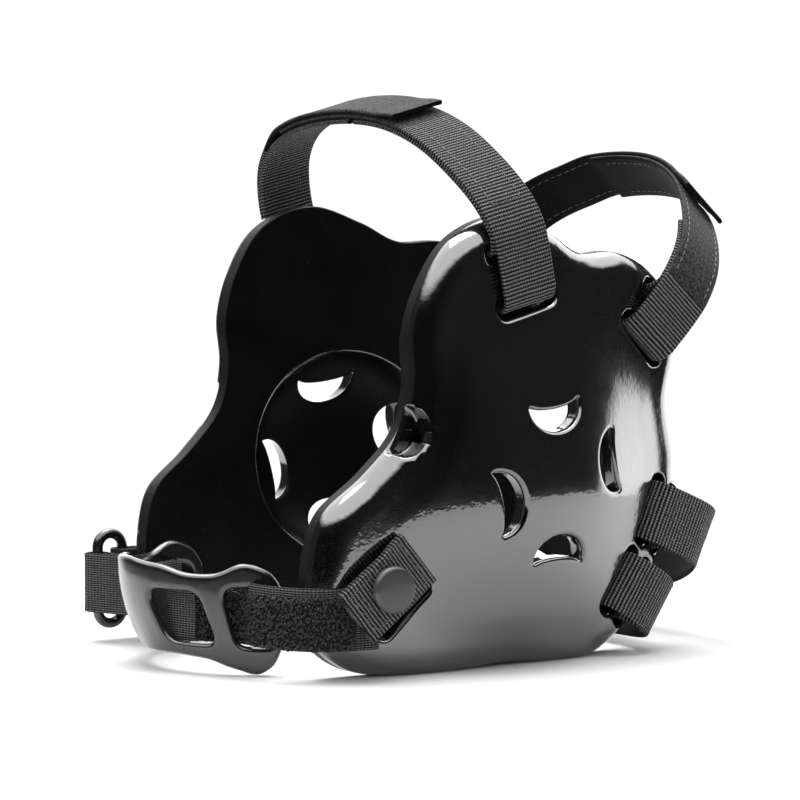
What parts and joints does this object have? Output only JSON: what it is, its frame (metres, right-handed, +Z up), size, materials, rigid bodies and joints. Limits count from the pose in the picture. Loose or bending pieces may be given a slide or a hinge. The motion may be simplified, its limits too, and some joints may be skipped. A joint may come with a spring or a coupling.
{
  "type": "wrestling ear guard",
  "caption": "Wrestling headgear: moulded foam ear guards with domed vented ear cavities, joined by webbing straps over the head, behind it and under a moulded chin cup.",
  "frame": {"origin": "on the floor under the middle of the whole headgear", "axes": "+Z up, -Y towards the wearer's front and the chin cup, +X towards the wearer's left"},
  "size_m": [0.1522, 0.215, 0.1835],
  "materials": {
    "guard_foam": "glossy vinyl skin outside, satin lining inside",
    "webbing": "ribbed black nylon webbing",
    "loop_webbing": "fuzzy loop tape on black webbing",
    "cup_rubber": "semi-gloss moulded rubber",
    "ring_plastic": "moulded acetal",
    "snap_plastic": "satin grey face"
  },
  "bodies": {
    "root": {"ear_guard_left": "guard_foam", "ear_guard_right": "guard_foam", "front_strap_left": "webbing", "front_strap_right": "webbing", "crown_strap_left": "webbing", "crown_strap_right": "webbing", "upper_back_strap_left": "webbing", "upper_back_strap_right": "webbing", "lower_back_strap_left": "webbing", "lower_back_strap_right": "webbing", "chin_strap": "loop_webbing", "ring_strap": "webbing", "strap_ring": "ring_plastic", "chin_cup": "cup_rubber", "snap_tab": "webbing", "snap_cap": "snap_plastic"}
  },
  "joints": []
}
